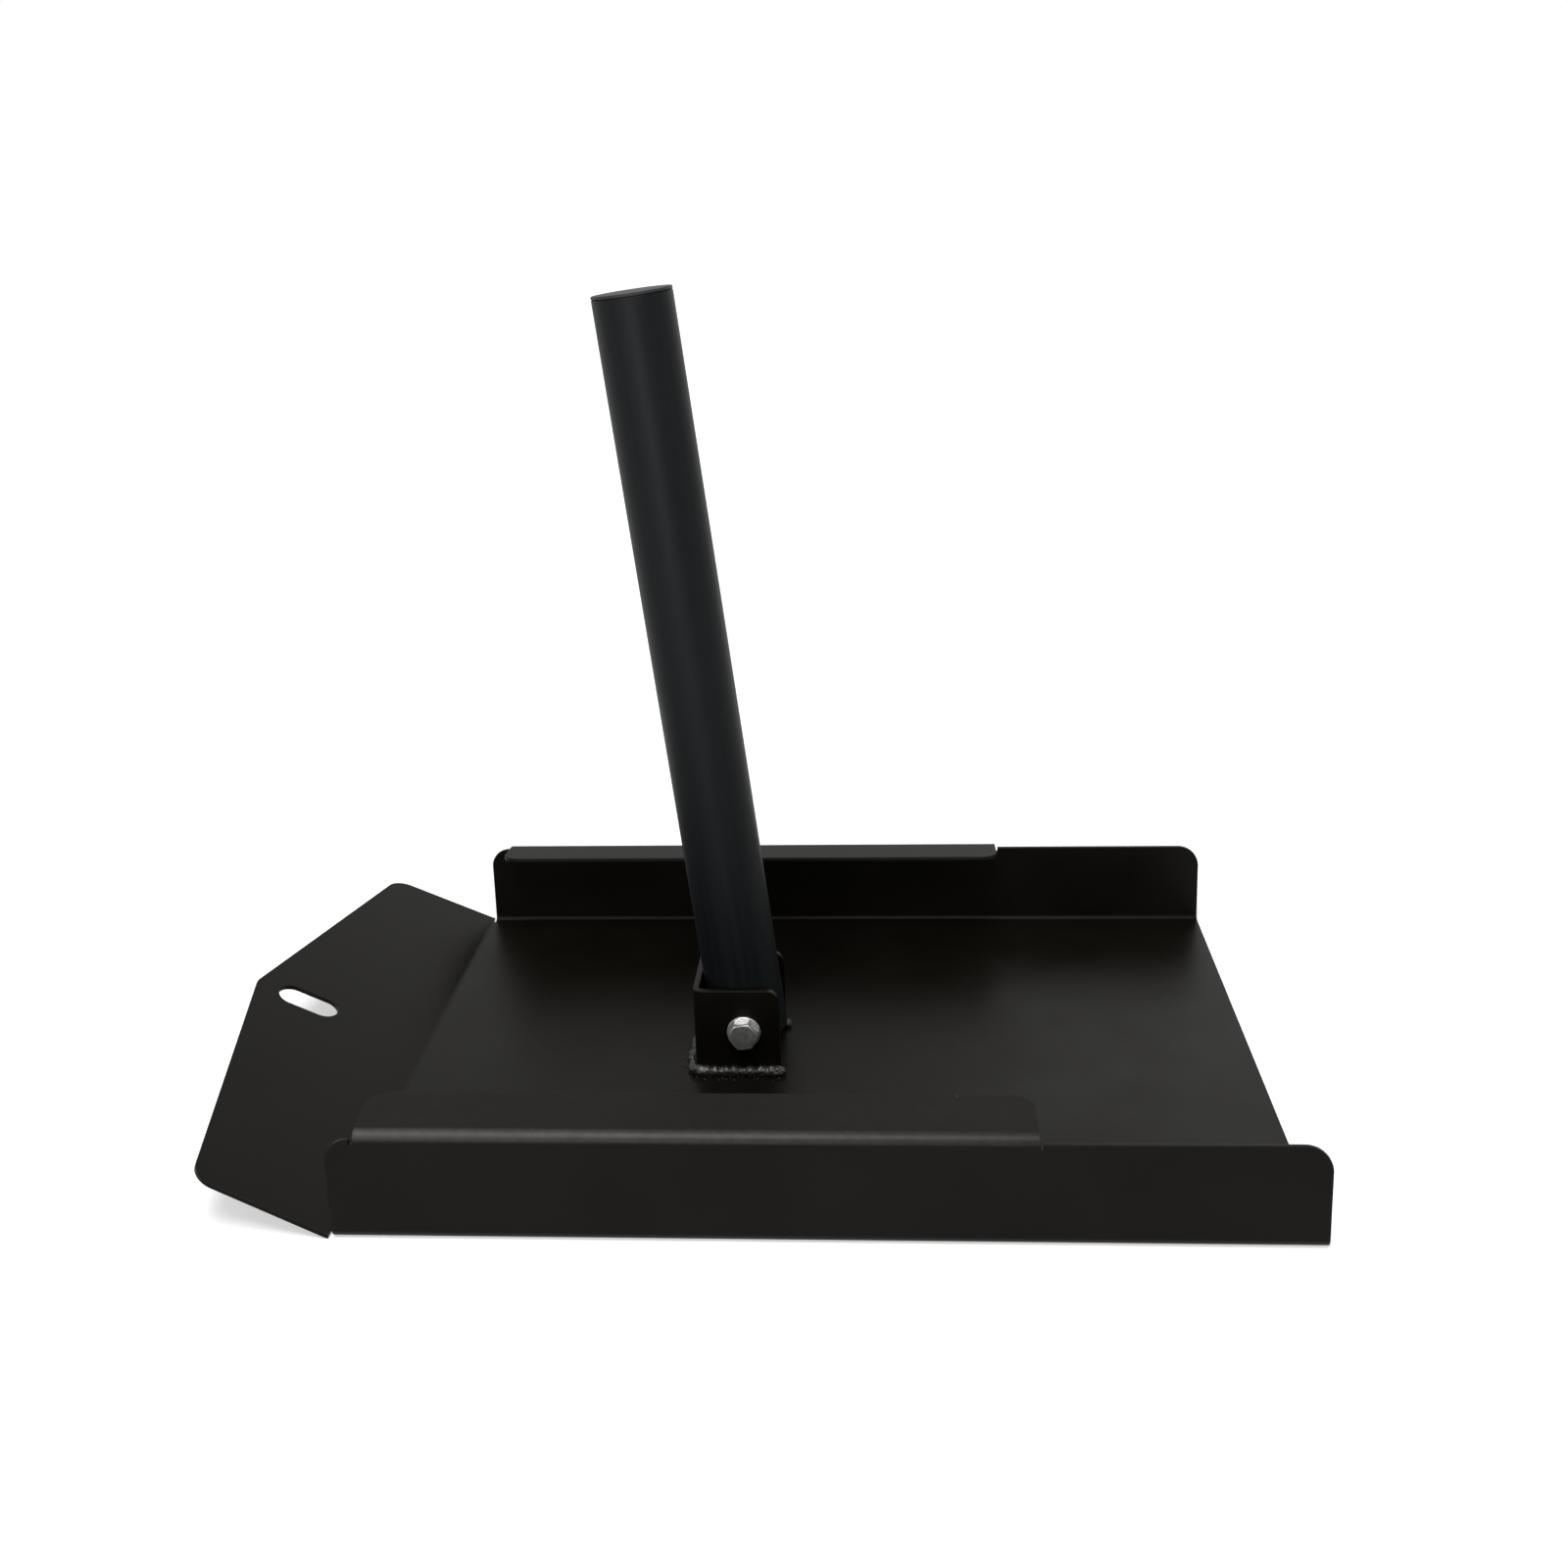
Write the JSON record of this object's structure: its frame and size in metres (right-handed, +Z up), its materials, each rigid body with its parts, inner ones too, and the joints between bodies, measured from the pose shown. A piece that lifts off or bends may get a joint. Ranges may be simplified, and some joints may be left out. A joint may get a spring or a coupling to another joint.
{
  "type": "training sled",
  "caption": "Flat pull sled bent from steel sheet, with low side walls, turned-in lips, a raised slotted nose and a round plate post that folds to the rear on its bolt.",
  "frame": {"origin": "on the floor below the middle of the sled's length and width", "axes": "+X forward to the nose, +Y to the sled's left, +Z up"},
  "size_m": [0.6408, 0.4, 0.4918],
  "materials": {
    "powder_coat": "semi-matt black powder coat",
    "weld_coat": "black powder coat over rough weld",
    "tube_coat": "satin black powder coat",
    "cap_plastic": "moulded black plastic",
    "zinc": "bright zinc plating",
    "nylon": "white nylon"
  },
  "bodies": {
    "sled": {"sled_plate": "powder_coat", "post_bracket": "powder_coat", "weld_front": "weld_coat", "weld_left": "weld_coat", "weld_right": "weld_coat", "pivot_bolt": "zinc", "head_washer": "zinc", "nut_washer": "zinc", "lock_nut": "zinc", "nut_insert": "nylon"},
    "post": {"post_tube": "tube_coat", "post_cap": "cap_plastic"}
  },
  "joints": [
    {"name": "post_fold", "type": "hinge", "parent": "sled", "child": "post", "pos_m": [-0.00089, 0, 0.03197], "axis": [0, -1, 0], "range_deg": [0, 97.2]}
  ]
}
